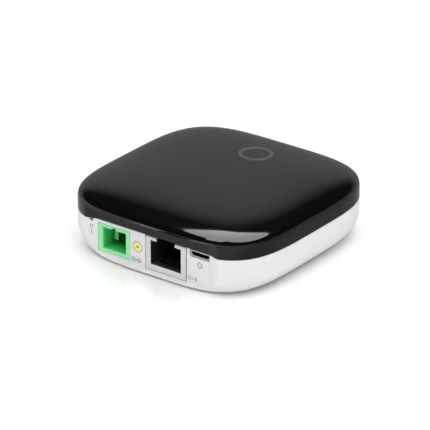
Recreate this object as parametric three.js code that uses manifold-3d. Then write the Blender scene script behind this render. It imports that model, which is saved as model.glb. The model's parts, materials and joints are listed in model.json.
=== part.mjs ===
// Optical network terminal: a palm-sized fibre-to-Ethernet box.
// A white tray holds the connectors, which hang under one circuit board, and a domed black cover
// snaps over it. Fibre, Ethernet, power and reset are all on the flat face at -Y.
// Units are millimetres, +Z is up, and z = 0 is the surface that the rubber feet stand on.
import * as THREE from 'three';
import { mergeVertices } from 'three/addons/utils/BufferGeometryUtils.js';
import Module from 'manifold-3d';

const wasm = await Module();
wasm.setup();

// ---- Driving dimensions -------------------------------------------------------------------------

// Outline: a rounded square (superellipse) seen from above.
const HALF_WIDTH = 38.65;
const HALF_DEPTH = 38.4;
const CENTRE_Y = 0.14;
const SQUARENESS = 4;
const OUTLINE_STEPS = 72;
const CORNER_CROWDING = 0.12;

// Heights of the two shells.
const FLOOR_Z = 0.3;
const SEAM_Z = 13.85;
const SEAM_GAP = 0.3;
const TOP_Z = 23.5;
const WALL = 1.8;
const CLEAR = 0.3;
const REST = 0.05;

// Side profile of the white tray: its walls curve in by this much towards the floor.
const TRAY_DRAW_IN = { sides: 6.02, ends: 2.76 };
const TRAY_CURVE = 4.12;
const TRAY_EDGE_ROUND = 0.8;

// Side profile of the cover: an upright wall that rolls over into a shallow dome.
const COVER_ROLL = 7.15;
const COVER_CROWN = 2.36;

// The flat port face, cut back behind the outline, with shallow flares at both ends.
const FACE_Y = -34.78;
const FACE_HALF = 22.3;
const FACE_FLARE = 0.31;
const LIP_Z = 1.65;
const BROW_Z = 17.9;

// Circuit board.
const BOARD_Z = 13.9;
const BOARD_THICK = 1.6;
const BOARD_TOP = BOARD_Z + BOARD_THICK;
const BOARD_SCALE = 0.905;
const CHIP_Z = BOARD_TOP + REST;
const HANG_Z = BOARD_Z - REST;
const SCREW_SPOTS = [[-27.5, 22], [27.5, 22], [-28, -20], [28, -20]];

// Fibre port: an SC/APC adapter.
const SC = { x: -15.62, z: 7.83, width: 12.98, height: 9.7, depth: 16.8 };
const SC_MOUTH = { width: 9.5, height: 7.5, depth: 11.7 };
const SC_FLANGE_Y = FACE_Y + 10.6;
const SC_HOOK = { half: 2.4, arm: 0.8, nose: 1.6, outer: 4 };

// Ethernet port: a low-profile shielded RJ45 jack, latch side up.
const RJ = { x: 5.11, width: 16, z0: 2, z1: 13.43, depth: 18 };
const RJ_MOUTH = { width: 12.1, z0: 3.98, z1: 12.35, depth: 14.3 };
const RJ_LATCH = { width: 7.3, depth: 8.8 };
const RJ_SHEET = 0.25;
const CONTACT = { count: 8, pitch: 1.02, width: 0.46, thick: 0.34 };
const CONTACT_BEND = { y: FACE_Y + 1.6, z: 4.72 };

// Power port: a micro-USB receptacle in a slot that is open at the seam.
const USB = { x: 18.7, width: 7.5, z0: 11.5, z1: 13.4, depth: 5, setBack: 0.35, sheet: 0.3 };
const USB_LIP = { flare: 0.15, depth: 0.5, corner: 0.6 };
const USB_SLOT = { width: 8.4, z0: 11.05 };

// Reset switch, pressed with a pin through a half-round notch at the seam.
const RESET = { x: -24.4, z: 13.15, notch: 0.65, travel: 0.25 };

// Status mark: a plain ring let into the top, lit from below.
const RING = { y: 20.2, outer: 6, inner: 4.3, depth: 0.9 };

// Feet and wall-hanging keyholes.
const FOOT = { spread: 22.5, radius: 4, height: 0.7, pocket: 0.45 };
const KEYHOLE = { x: 24, y: -2, entry: 3.6, slot: 2.05, run: 6.5 };

// ---- Materials ----------------------------------------------------------------------------------

const finish = (color, roughness, metalness = 0) =>
  new THREE.MeshStandardMaterial({ color, roughness, metalness });
const WHITE_PLASTIC = finish(0xe9e9e9, 0.45);
const BLACK_GLOSS = finish(0x0b0b0c, 0.12);
const GREEN_PLASTIC = finish(0x57c46e, 0.4);
const BOARD_GREEN = finish(0x14532d, 0.5);
const PLATED_STEEL = finish(0xc9cbcc, 0.3, 1);
const TURNED_STEEL = finish(0x9fa2a5, 0.35, 1);
const GOLD_PLATE = finish(0xd4a23a, 0.25, 1);
const BLACK_PLASTIC = finish(0x17171a, 0.55);
const CHIP_EPOXY = finish(0x202124, 0.6);
const CERAMIC = finish(0xf2f0ea, 0.25);
const RUBBER = finish(0x8d8f91, 0.9);
const CLEAR_GUIDE = finish(0xdfe6ea, 0.15);
const MARK_GREY = finish(0x6d6f72, 0.35);
const PAD_BLUE = finish(0x8fa9c4, 0.9);
const ALUMINIUM = finish(0xb5b8ba, 0.4, 1);
const PAPER = finish(0xf4f4f1, 0.7);
const FERRITE = finish(0x3a3b3d, 0.7);

// ---- Solids: three.js geometry, joined and cut ---------------------------------------------------

function signedVolume(points, corners) {
  let total = 0;
  const [a, b, c] = [new THREE.Vector3(), new THREE.Vector3(), new THREE.Vector3()];
  for (let i = 0; i < corners.length; i += 3) {
    a.fromArray(points, corners[i] * 3);
    b.fromArray(points, corners[i + 1] * 3);
    c.fromArray(points, corners[i + 2] * 3);
    total += a.dot(b.cross(c));
  }
  return total;
}

function solid(geometry) {
  const bare = geometry.clone();
  bare.deleteAttribute('normal');
  bare.deleteAttribute('uv');
  const merged = mergeVertices(bare, 1e-4);
  const points = new Float32Array(merged.attributes.position.array);
  const source = merged.index.array;
  const kept = [];
  for (let i = 0; i < source.length; i += 3) {
    const [a, b, c] = [source[i], source[i + 1], source[i + 2]];
    if (a !== b && b !== c && c !== a) kept.push(a, b, c);
  }
  if (signedVolume(points, kept) < 0) kept.reverse();
  const mesh = new wasm.Mesh({ numProp: 3, vertProperties: points, triVerts: new Uint32Array(kept) });
  return new wasm.Manifold(mesh);
}

function block(x0, x1, y0, y1, z0, z1) {
  const box = new THREE.BoxGeometry(x1 - x0, y1 - y0, z1 - z0);
  box.translate((x0 + x1) / 2, (y0 + y1) / 2, (z0 + z1) / 2);
  return solid(box);
}

function blockAt(x, y, width, depth, z0, z1) {
  return block(x - width / 2, x + width / 2, y - depth / 2, y + depth / 2, z0, z1);
}

// A round rod along X, Y or Z, from one end to the other; the other two coordinates are its centre.
function rod(axis, radius, from, to, p, q, sides = 24) {
  const bar = new THREE.CylinderGeometry(radius, radius, to - from, sides);
  const middle = (from + to) / 2;
  if (axis === 'x') {
    bar.rotateZ(-Math.PI / 2);
    bar.translate(middle, p, q);
  } else if (axis === 'y') {
    bar.translate(p, middle, q);
  } else {
    bar.rotateX(Math.PI / 2);
    bar.translate(p, q, middle);
  }
  return solid(bar);
}

// An outline in plan, raised from z0 to z1.
function prism(points, z0, z1) {
  const shape = new THREE.Shape(points.map(([x, y]) => new THREE.Vector2(x, y)));
  const geometry = new THREE.ExtrudeGeometry(shape, { depth: z1 - z0, bevelEnabled: false });
  geometry.translate(0, 0, z0);
  return solid(geometry);
}

// An outline in the YZ plane, swept along X from x0 to x1.
function sideProfile(points, x0, x1) {
  const shape = new THREE.Shape(points.map(([y, z]) => new THREE.Vector2(y, z)));
  const geometry = new THREE.ExtrudeGeometry(shape, { depth: x1 - x0, bevelEnabled: false });
  const toSide = new THREE.Matrix4().makeBasis(
    new THREE.Vector3(0, 1, 0), new THREE.Vector3(0, 0, 1), new THREE.Vector3(1, 0, 0));
  geometry.applyMatrix4(toSide);
  geometry.translate(x0, 0, 0);
  return solid(geometry);
}

// An outline in the XZ plane, swept along Y from y0 to y1.
function frontProfile(points, y0, y1) {
  const shape = new THREE.Shape(points.map(([x, z]) => new THREE.Vector2(x, z)));
  const geometry = new THREE.ExtrudeGeometry(shape, { depth: y1 - y0, bevelEnabled: false });
  const toFront = new THREE.Matrix4().makeBasis(
    new THREE.Vector3(1, 0, 0), new THREE.Vector3(0, 0, 1), new THREE.Vector3(0, 1, 0));
  geometry.applyMatrix4(toFront);
  geometry.translate(0, y0, 0);
  return solid(geometry);
}

// Distance from the outline's centre to its edge in one direction.
function outlineReach(angle) {
  const across = Math.abs(Math.cos(angle)) / HALF_WIDTH;
  const along = Math.abs(Math.sin(angle)) / HALF_DEPTH;
  return (across ** SQUARENESS + along ** SQUARENESS) ** (-1 / SQUARENESS);
}

// A lathed profile pulled out to the rounded-square outline. Each [wide, z, deep] gives the size of
// the outline at that height along X and along Y, where 1 is the full outline and 0 is the axis.
// Without `deep` the two are the same.
function squircle(profile) {
  const points = profile.map(([wide, z]) => new THREE.Vector2(wide, z));
  const lathe = new THREE.LatheGeometry(points, OUTLINE_STEPS);
  lathe.rotateX(Math.PI / 2);
  const place = lathe.attributes.position;
  for (let i = 0; i < place.count; i += 1) {
    const size = Math.hypot(place.getX(i), place.getY(i));
    const even = Math.atan2(place.getY(i), place.getX(i));
    const angle = even + CORNER_CROWDING * Math.sin(4 * even);
    const reach = size * outlineReach(angle);
    const [wide, , deep = wide] = profile[i % profile.length];
    const stretch = wide > 0 ? deep / wide : 1;
    place.setXY(i, reach * Math.cos(angle), stretch * reach * Math.sin(angle) + CENTRE_Y);
  }
  return solid(lathe);
}

// Everything in front of the port face, moved back by `inset` and cut between two heights.
function frontOfFace(inset, z0, z1) {
  const far = 60;
  const flareEnd = FACE_Y + inset - FACE_FLARE * (far - FACE_HALF);
  return prism([
    [-far, -far], [far, -far], [far, flareEnd],
    [FACE_HALF, FACE_Y + inset], [-FACE_HALF, FACE_Y + inset], [-far, flareEnd],
  ], z0, z1);
}

const join = (...solids) => solids.reduce((sum, next) => sum.add(next));
const cut = (body, ...tools) => tools.reduce((rest, tool) => rest.subtract(tool), body);

const terminal = new THREE.Group();

function piece(name, body, material) {
  const { vertProperties, triVerts, numProp } = body.getMesh();
  const corners = new Float32Array((vertProperties.length / numProp) * 3);
  for (let i = 0; i < corners.length / 3; i += 1) {
    corners.set(vertProperties.subarray(i * numProp, i * numProp + 3), i * 3);
  }
  const geometry = new THREE.BufferGeometry();
  geometry.setAttribute('position', new THREE.BufferAttribute(corners, 3));
  geometry.setIndex(new THREE.BufferAttribute(new Uint32Array(triVerts), 1));
  geometry.computeVertexNormals();
  const mesh = new THREE.Mesh(geometry, material);
  mesh.name = name;
  terminal.add(mesh);
}

// ---- White tray ---------------------------------------------------------------------------------

// The tray's outline at a height, drawn in further by `inset` all round.
function trayRow(z, inset = 0) {
  const bend = (Math.max(0, SEAM_Z - z) / (SEAM_Z - FLOOR_Z)) ** TRAY_CURVE;
  const wide = 1 - (TRAY_DRAW_IN.sides * bend + inset) / HALF_WIDTH;
  const deep = 1 - (TRAY_DRAW_IN.ends * bend + inset) / HALF_DEPTH;
  return [wide, z, deep];
}

function screwBoss([x, y]) {
  return rod('z', 2.7, FLOOR_Z + WALL / 2, BOARD_Z - REST, x, y, 20);
}

function keyhole(x) {
  const entry = rod('z', KEYHOLE.entry, 0, 4, x, KEYHOLE.y, 24);
  const end = rod('z', KEYHOLE.slot, 0, 4, x, KEYHOLE.y + KEYHOLE.run, 24);
  const run = block(x - KEYHOLE.slot, x + KEYHOLE.slot, KEYHOLE.y, KEYHOLE.y + KEYHOLE.run, 0, 4);
  return join(entry, end, run);
}

// The cover's snap hooks: [x, y] of each hook's middle and the way its nose points.
const HOOK = { reach: 2.5, inner: 35.3, face: 36.2, nose: 37.0, tip: 10.3, root: 17.4 };
const SKIRT = { thick: 0.8, bottom: 12.4, top: 15.1, setBack: 2.5 };
const HOOK_SPOTS = [
  { side: [1, 0], along: 12 }, { side: [1, 0], along: -12 },
  { side: [-1, 0], along: 12 }, { side: [-1, 0], along: -12 },
  { side: [0, 1], along: 13 }, { side: [0, 1], along: -13 },
];

// A block beside the wall, given by its distance out from the middle and its place along the wall.
function wallBlock({ side: [sx, sy], along }, reach, near, far, z0, z1) {
  if (sx !== 0) {
    return block(Math.min(sx * near, sx * far), Math.max(sx * near, sx * far),
      along - reach, along + reach, z0, z1);
  }
  return block(along - reach, along + reach, Math.min(sy * near, sy * far),
    Math.max(sy * near, sy * far), z0, z1);
}

const hookPocket = (spot) =>
  wallBlock(spot, HOOK.reach + CLEAR, HOOK.inner, HOOK.nose + CLEAR, HOOK.tip - CLEAR, HOOK.tip + 1.8);

function footSpots() {
  const s = FOOT.spread;
  return [[-s, -s], [s, -s], [-s, s], [s, s]];
}

function baseShell() {
  const outside = [FLOOR_Z + 0.25, 1.4, 2.2, 3.2, 4.6, 6.8, 9.6, SEAM_Z - SEAM_GAP];
  const outer = squircle([
    [0, FLOOR_Z], trayRow(FLOOR_Z, TRAY_EDGE_ROUND), ...outside.map((z) => trayRow(z)),
    [0, SEAM_Z - SEAM_GAP],
  ]);
  const insideFloor = FLOOR_Z + WALL;
  const inside = [insideFloor + 0.7, 4.8, 7.5, SEAM_Z + 1];
  const inner = squircle([
    [0, insideFloor], trayRow(insideFloor, 1.7 * WALL), ...inside.map((z) => trayRow(z, WALL)),
    [0, SEAM_Z + 1],
  ]);
  const hollow = inner.subtract(frontOfFace(WALL, 0, TOP_Z));
  const bosses = SCREW_SPOTS.map(screwBoss);
  const tray = join(outer.subtract(hollow), ...bosses);

  const portBack = FACE_Y + RJ.depth + CLEAR;
  const scBack = FACE_Y + SC.depth + CLEAR;
  const cuts = [
    frontOfFace(0, LIP_Z, TOP_Z),
    blockAt(RJ.x, (FACE_Y - 2 + portBack) / 2, RJ.width + 2 * CLEAR, portBack - FACE_Y + 2,
      RJ.z0 - CLEAR, TOP_Z),
    blockAt(SC.x, (FACE_Y - 2 + scBack) / 2, SC.width + 2 * CLEAR, scBack - FACE_Y + 2,
      SC.z - SC.height / 2 - CLEAR, SC.z + SC.height / 2 + CLEAR),
    blockAt(USB.x, FACE_Y, USB_SLOT.width, 6, USB_SLOT.z0, TOP_Z),
    rod('y', RESET.notch, FACE_Y - 4, FACE_Y + 3, RESET.x, RESET.z + 0.25, 20),
    block(RESET.x - RESET.notch, RESET.x + RESET.notch, FACE_Y - 4, FACE_Y + 3, RESET.z + 0.25, TOP_Z),
    keyhole(-KEYHOLE.x),
    keyhole(KEYHOLE.x),
    ...SCREW_SPOTS.map(([x, y]) => rod('z', 1.25, 5, BOARD_Z, x, y, 16)),
    ...footSpots().map(([x, y]) =>
      rod('z', FOOT.radius + CLEAR, 0, FLOOR_Z + FOOT.pocket, x, y, 28)),
    ...HOOK_SPOTS.map(hookPocket),
  ];
  return cut(tray, ...cuts);
}

// ---- Black cover --------------------------------------------------------------------------------

function coverSize(rise) {
  return (1 - rise ** COVER_ROLL) ** (1 / COVER_CROWN);
}

function dome(scale, bottom, top, rises) {
  const height = (rise) => SEAM_Z + (top - SEAM_Z) * rise;
  return squircle([
    [0, bottom], [scale, bottom],
    ...rises.map((rise) => [scale * coverSize(rise), height(rise)]), [0, top],
  ]);
}

// The status ring's band: `grow` widens it, for the groove that it sits in.
function ringBand(grow, z0, z1) {
  const outer = rod('z', RING.outer + grow, z0, z1, 0, RING.y, 40);
  return outer.subtract(rod('z', RING.inner - grow, z0 - 1, z1 + 1, 0, RING.y, 32));
}

// Three round legs carry light from the guide below up into the ring.
function ringLegs(radius, z0, z1) {
  const middle = (RING.outer + RING.inner) / 2;
  const angles = [0.5, 2.5, 4.5].map((third) => (third * Math.PI) / 3);
  return join(...angles.map((angle) =>
    rod('z', radius, z0, z1, middle * Math.cos(angle), RING.y + middle * Math.sin(angle), 12)));
}

const outerDome = dome(1, SEAM_Z, TOP_Z,
  [0.15, 0.32, 0.48, 0.6, 0.7, 0.77, 0.83, 0.88, 0.92, 0.95, 0.975, 0.99, 0.998]);
const ringFloor = TOP_Z - 0.55 - RING.depth;

function snapHook(spot) {
  const stem = wallBlock(spot, HOOK.reach, HOOK.inner, HOOK.face, HOOK.tip, HOOK.root);
  const nose = wallBlock(spot, HOOK.reach, HOOK.inner, HOOK.nose, HOOK.tip, HOOK.tip + 1.1);
  const root = wallBlock(spot, HOOK.reach, HOOK.inner, HOOK.face + 1.1, HOOK.root - 1.5, HOOK.root);
  return join(stem, nose, root);
}

// A thin skirt below the cover's rim, just inside the tray's wall, that closes the seam to light and
// dust. It stops behind the port face, where the connectors pass.
function skirt() {
  const outer = (HALF_WIDTH - WALL - CLEAR) / HALF_WIDTH;
  const inner = outer - SKIRT.thick / HALF_WIDTH;
  const shelf = (HALF_WIDTH - 0.9) / HALF_WIDTH;
  const ring = squircle([
    [inner, SKIRT.bottom], [outer, SKIRT.bottom], [outer, SEAM_Z + 0.3], [shelf, SEAM_Z + 0.3],
    [shelf, SKIRT.top], [inner, SKIRT.top], [inner, SKIRT.bottom],
  ]);
  return ring.subtract(frontOfFace(WALL + SKIRT.setBack, 0, TOP_Z));
}

function topCover() {
  const innerScale = (HALF_WIDTH - WALL) / HALF_WIDTH;
  const hollow = dome(innerScale, SEAM_Z - 1, TOP_Z - WALL, [0.2, 0.48, 0.68, 0.8, 0.88, 0.94, 0.98]);
  const inner = hollow.subtract(frontOfFace(WALL, 0, BROW_Z + WALL));
  const shell = join(outerDome.subtract(inner), skirt(), ...HOOK_SPOTS.map(snapHook));
  return cut(shell,
    frontOfFace(0, 0, BROW_Z),
    ringBand(CLEAR, ringFloor - CLEAR, TOP_Z + 1),
    ringLegs(0.5 + CLEAR, TOP_Z - 5, TOP_Z));
}

function statusRing() {
  const band = ringBand(0, ringFloor, TOP_Z + 1).intersect(outerDome);
  return band.add(ringLegs(0.5, TOP_Z - 2.9, ringFloor + 0.2));
}

// A funnel of clear plastic: a wide disc under the ring, and a stem down to the light source.
function lightGuide() {
  const top = TOP_Z - 3.2;
  const rim = RING.outer - 0.2;
  const points = [[0, 16.7], [1.4, 16.7], [1.4, 18], [rim, top - 1], [rim, top], [0, top]]
    .map(([r, z]) => new THREE.Vector2(r, z));
  const funnel = new THREE.LatheGeometry(points, 28);
  funnel.rotateX(Math.PI / 2);
  funnel.translate(0, RING.y, 0);
  return solid(funnel);
}

// ---- Circuit board and what is on it --------------------------------------------------------------

function mainBoard() {
  const slab = squircle([
    [0, BOARD_Z], [BOARD_SCALE, BOARD_Z], [BOARD_SCALE, BOARD_TOP], [0, BOARD_TOP],
  ]);
  const holes = SCREW_SPOTS.map(([x, y]) => rod('z', 1.4, BOARD_Z - 1, BOARD_TOP + 1, x, y, 16));
  return cut(slab, frontOfFace(WALL + 0.5, 0, TOP_Z), ...holes);
}

function boardScrew([x, y]) {
  const head = rod('z', 2.1, CHIP_Z, CHIP_Z + 1.4, x, y, 20);
  const shank = rod('z', 0.9, 7.5, CHIP_Z + 0.2, x, y, 14);
  const slots = [[2.6, 0.5], [0.5, 2.6]].map(([w, d]) =>
    blockAt(x, y, w, d, CHIP_Z + 0.7, CHIP_Z + 2));
  return cut(join(head, shank), ...slots);
}

const chip = (x, y, width, depth, height) =>
  blockAt(x, y, width, depth, CHIP_Z, CHIP_Z + height);

// A finned block on the main chip, above the soft pad.
function heatSink(x, y, z) {
  const fins = [-8.6, -5.16, -1.72, 1.72, 5.16, 8.6].map((dx) =>
    blockAt(x + dx, y, 1.2, 19, z + 0.5, z + 3.1));
  return join(blockAt(x, y, 19, 19, z, z + 1.1), ...fins);
}

function driverShield(x, y) {
  const lid = blockAt(x, y, 12, 10, CHIP_Z, CHIP_Z + 2.2);
  return lid.subtract(blockAt(x, y, 11.5, 9.5, CHIP_Z - 1, CHIP_Z + 1.95));
}

// A can capacitor hanging under the board, on its square plastic foot.
function canCapacitor(x, y) {
  const foot = blockAt(x, y, 6.6, 6.6, HANG_Z - 0.9, HANG_Z);
  return join(foot, rod('z', 3.1, HANG_Z - 5.6, HANG_Z - 0.5, x, y, 24));
}

function shieldedInductor(x, y) {
  const core = chip(x, y, 6.2, 6.2, 3);
  const pads = blockAt(x, y, 7, 2.4, CHIP_Z, CHIP_Z + 0.8);
  return join(core, pads);
}

// ---- Fibre port -----------------------------------------------------------------------------------

function scHousing() {
  const back = FACE_Y + SC.depth;
  const outer = block(SC.x - SC.width / 2, SC.x + SC.width / 2, FACE_Y, back,
    SC.z - SC.height / 2, SC.z + SC.height / 2);
  const mouthY = FACE_Y + SC_MOUTH.depth;
  const top = SC.z + SC_MOUTH.height / 2;
  return cut(outer,
    block(SC.x - SC_MOUTH.width / 2, SC.x + SC_MOUTH.width / 2, FACE_Y - 1, mouthY,
      SC.z - SC_MOUTH.height / 2, top),
    block(SC.x - 0.8, SC.x + 0.8, FACE_Y - 1, FACE_Y + 8, top - 0.1, top + 0.62),
    rod('y', 2.2, mouthY - 0.5, back + 1, SC.x, SC.z, 28));
}

// The inner clip: a flange, a barrel around the sleeve, and two hooks that grip the plug.
function scClip() {
  const barrelFront = SC_FLANGE_Y - 5;
  const flange = blockAt(SC.x, SC_FLANGE_Y + 0.5, 9.1, 1, SC.z - 3.55, SC.z + 3.55);
  const barrel = rod('y', 2.3, barrelFront, SC_FLANGE_Y + 0.5, SC.x, SC.z, 28);
  const { half, arm, nose, outer } = SC_HOOK;
  const arms = [-1, 1].map((side) => join(
    blockAt(SC.x + side * (outer - arm / 2), SC_FLANGE_Y - 2.6, arm, 5.6, SC.z - half, SC.z + half),
    blockAt(SC.x + side * (outer - nose / 2), SC_FLANGE_Y - 4.9, nose, 1, SC.z - half, SC.z + half)));
  const bore = rod('y', 1.95, barrelFront - 1, SC_FLANGE_Y + 2, SC.x, SC.z, 24);
  return join(flange, barrel, ...arms).subtract(bore);
}

// The ceramic sleeve is split along its length, so it grips both ferrules.
function splitSleeve() {
  const tube = rod('y', 1.65, SC_FLANGE_Y - 4.6, SC_FLANGE_Y + 5, SC.x, SC.z, 28);
  const bore = rod('y', 1.36, SC_FLANGE_Y - 6, SC_FLANGE_Y + 6, SC.x, SC.z, 24);
  return cut(tube, bore, block(SC.x - 0.2, SC.x + 0.2, SC_FLANGE_Y - 6, SC_FLANGE_Y + 6,
    SC.z + 1, SC.z + 2));
}

const opticsFront = FACE_Y + SC.depth + CLEAR;
const opticsBack = opticsFront + 7.4;

function ferruleStub() {
  return rod('y', 1.2, SC_FLANGE_Y + 1.2, opticsFront + 0.6, SC.x, SC.z, 24);
}

function opticsBody() {
  const collar = rod('y', 2.9, opticsFront, opticsFront + 1.4, SC.x, SC.z, 28);
  const cube = blockAt(SC.x, (opticsFront + opticsBack) / 2 + 0.6, 6.4, opticsBack - opticsFront - 1.2,
    SC.z - 3.1, SC.z + 3.1);
  const stubHole = rod('y', 1.5, opticsFront - 1, opticsFront + 0.9, SC.x, SC.z, 24);
  return cut(join(collar, cube), stubHole);
}

// A metal can with a rim at its base and four legs, pointing back or to one side.
function diodeCan(axis, start, p, q) {
  const can = rod(axis, 2.35, start, start + 2.6, p, q, 24);
  const rim = rod(axis, 2.8, start + 2.4, start + 3.2, p, q, 24);
  const spots = [[-0.9, -0.9], [0.9, -0.9], [0.9, 0.9], [-0.9, 0.9]];
  const legs = spots.map(([dp, dq]) => rod(axis, 0.22, start + 3, start + 5.2, p + dp, q + dq, 8));
  return join(can, rim, ...legs);
}

// ---- Ethernet port --------------------------------------------------------------------------------

const rjLeft = RJ.x - RJ.width / 2;
const rjRight = RJ.x + RJ.width / 2;

// The mouth with its latch notch above it, cut back to the given depths.
function rjMouth(depth, latchDepth) {
  const mouth = block(RJ.x - RJ_MOUTH.width / 2, RJ.x + RJ_MOUTH.width / 2, FACE_Y - 1,
    FACE_Y + depth, RJ_MOUTH.z0, RJ_MOUTH.z1);
  const latch = block(RJ.x - RJ_LATCH.width / 2, RJ.x + RJ_LATCH.width / 2, FACE_Y - 1,
    FACE_Y + latchDepth, RJ_MOUTH.z1 - 0.2, RJ.z1 + 1);
  return mouth.add(latch);
}

// Folded sheet steel: five sides of a box, open towards the board behind the latch notch.
function rjShield() {
  const back = FACE_Y + RJ.depth;
  const outer = block(rjLeft, rjRight, FACE_Y, back, RJ.z0, RJ.z1);
  const hollow = block(rjLeft + RJ_SHEET, rjRight - RJ_SHEET, FACE_Y + RJ_SHEET, back - RJ_SHEET,
    RJ.z0 + RJ_SHEET, RJ.z1 - RJ_SHEET);
  const pinWindow = block(rjLeft + 2, rjRight - 2, FACE_Y + 11, back - 1.5, RJ.z1 - 1, RJ.z1 + 1);
  return cut(outer, hollow, rjMouth(1, 6), pinWindow);
}

function rjInsulator() {
  const gap = RJ_SHEET + 0.1;
  const body = block(rjLeft + gap, rjRight - gap, FACE_Y + gap, FACE_Y + RJ.depth - gap,
    RJ.z0 + gap, RJ.z1 - gap);
  return body.subtract(rjMouth(RJ_MOUTH.depth, RJ_LATCH.depth));
}

// One flat spring wire: it turns over at the mouth and slopes up and back into the jack.
function rjContact(index) {
  const x = RJ.x + (index - (CONTACT.count - 1) / 2) * CONTACT.pitch;
  const { y, z } = CONTACT_BEND;
  const t = CONTACT.thick;
  const points = [
    [y + 2.2, z - 0.32], [y + 0.1, z - 0.32], [y - 0.22, z - 0.12], [y - 0.24, z + 0.16], [y, z + 0.4],
    [y + 8.2, z + 2.9], [y + 9.3, z + 2.7], [y + 9.3, z + 2.7 - t], [y + 8.25, z + 2.9 - t],
    [y + 0.5, z + 0.52 - t], [y + 0.4, z - 0.32 + t], [y + 2.2, z - 0.32 + t],
  ];
  return sideProfile(points, x - CONTACT.width / 2, x + CONTACT.width / 2);
}

// ---- Power port and reset switch --------------------------------------------------------------------

const usbFront = FACE_Y + USB.setBack;

// The mouth's outline, with its two lower corners cut off, drawn in by `inset`.
function usbOutline(inset) {
  const half = USB.width / 2 - inset;
  const [low, high] = [USB.z0 + inset, USB.z1 - inset];
  return [
    [USB.x - half + USB_LIP.corner, low], [USB.x + half - USB_LIP.corner, low],
    [USB.x + half, low + USB_LIP.corner], [USB.x + half, high],
    [USB.x - half, high], [USB.x - half, low + USB_LIP.corner],
  ];
}

// Folded steel, thicker at its lip, with two lugs behind the wall that reach up to the board.
function usbShell() {
  const back = usbFront + USB.depth;
  const lugs = [-1, 1].map((side) =>
    blockAt(USB.x + side * (USB.width / 2 - 0.5), back - 1.1, 1, 1.8, USB.z1 - 0.1, HANG_Z));
  const outer = frontProfile(usbOutline(0), usbFront, back);
  const lip = frontProfile(usbOutline(-USB_LIP.flare), usbFront, usbFront + USB_LIP.depth);
  const mouth = frontProfile(usbOutline(USB.sheet), usbFront - 1, back + 1);
  return join(outer, lip, ...lugs).subtract(mouth);
}

function usbTongue() {
  const back = usbFront + USB.depth;
  const gap = USB.sheet + 0.1;
  const root = blockAt(USB.x, back - 0.6, USB.width - 2 * gap - 1.4, 1.2, USB.z0 + gap, USB.z1 - gap);
  const tongue = blockAt(USB.x, usbFront + USB.depth / 2 + 0.2, 3.9, USB.depth - 0.8,
    USB.z0 + 0.85, USB.z0 + 1.3);
  return join(root, tongue);
}

const switchFront = FACE_Y + 3.2;

function resetSwitchBody() {
  const body = blockAt(RESET.x, switchFront + 1.6, 3.6, 3.2, HANG_Z - 2.25, HANG_Z);
  const pocket = blockAt(RESET.x, switchFront, 1.8, 2.4, RESET.z - 0.75, HANG_Z + 1);
  return body.subtract(pocket);
}

// The plunger stops short of the pocket's end by its travel and a little clearance.
function resetPlunger() {
  const back = switchFront + 1.2 - RESET.travel - CLEAR;
  return blockAt(RESET.x, back - 1.05, 1.2, 2.1, RESET.z - 0.45, RESET.z + 0.45);
}

// ---- Assembly -----------------------------------------------------------------------------------

piece('base_shell', baseShell(), WHITE_PLASTIC);
piece('top_cover', topCover(), BLACK_GLOSS);
piece('status_ring', statusRing(), MARK_GREY);
piece('light_guide', lightGuide(), CLEAR_GUIDE);
piece('main_board', mainBoard(), BOARD_GREEN);
SCREW_SPOTS.forEach((spot, i) => piece(`board_screw_${i + 1}`, boardScrew(spot), TURNED_STEEL));
footSpots().forEach(([x, y], i) =>
  piece(`rubber_foot_${i + 1}`, rod('z', FOOT.radius, 0, FOOT.height, x, y, 28), RUBBER));
piece('rating_label', blockAt(0, -6, 30, 20, FLOOR_Z - 0.12, FLOOR_Z - 0.04), PAPER);

const soc = { x: 0, y: -3 };
piece('soc_chip', chip(soc.x, soc.y, 14, 14, 1.3), CHIP_EPOXY);
piece('thermal_pad', blockAt(soc.x, soc.y, 13, 13, CHIP_Z + 1.35, CHIP_Z + 2.15), PAD_BLUE);
piece('heat_sink', heatSink(soc.x, soc.y, CHIP_Z + 2.2), ALUMINIUM);
piece('memory_chip', chip(17.5, -3, 8, 12, 1.1), CHIP_EPOXY);
piece('flash_chip', chip(-15, -1, 6, 5, 0.9), CHIP_EPOXY);
piece('clock_crystal', chip(0, -15.5, 3.2, 2.5, 0.8), PLATED_STEEL);
piece('status_led', chip(0, RING.y, 2, 1.25, 0.8), CERAMIC);
piece('optics_driver_shield', driverShield(-16, -14), PLATED_STEEL);
piece('power_inductor', shieldedInductor(18.7, -20), FERRITE);
piece('capacitor_1', canCapacitor(17, 4), ALUMINIUM);
piece('capacitor_2', canCapacitor(17, 13), ALUMINIUM);
piece('lan_transformer', block(14.4, 23.8, -26.6, -13.9, HANG_Z - 5, HANG_Z), BLACK_PLASTIC);

piece('sc_adapter_housing', scHousing(), GREEN_PLASTIC);
piece('sc_latch_clip', scClip(), CERAMIC);
piece('sc_split_sleeve', splitSleeve(), CERAMIC);
piece('ferrule_stub', ferruleStub(), CERAMIC);
piece('optical_subassembly_body', opticsBody(), TURNED_STEEL);
piece('laser_diode_can', diodeCan('y', opticsBack + CLEAR, SC.x, SC.z), GOLD_PLATE);
piece('photodiode_can', diodeCan('x', SC.x + 3.2 + CLEAR, opticsBack - 3, SC.z), GOLD_PLATE);

piece('rj45_shield', rjShield(), PLATED_STEEL);
piece('rj45_insulator', rjInsulator(), BLACK_PLASTIC);
for (let i = 0; i < CONTACT.count; i += 1) {
  piece(`rj45_contact_${i + 1}`, rjContact(i), GOLD_PLATE);
}

piece('micro_usb_shell', usbShell(), PLATED_STEEL);
piece('micro_usb_tongue', usbTongue(), BLACK_PLASTIC);
piece('reset_switch_body', resetSwitchBody(), BLACK_PLASTIC);
piece('reset_switch_plunger', resetPlunger(), BLACK_PLASTIC);

export default terminal;
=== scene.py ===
import json
import math

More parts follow.
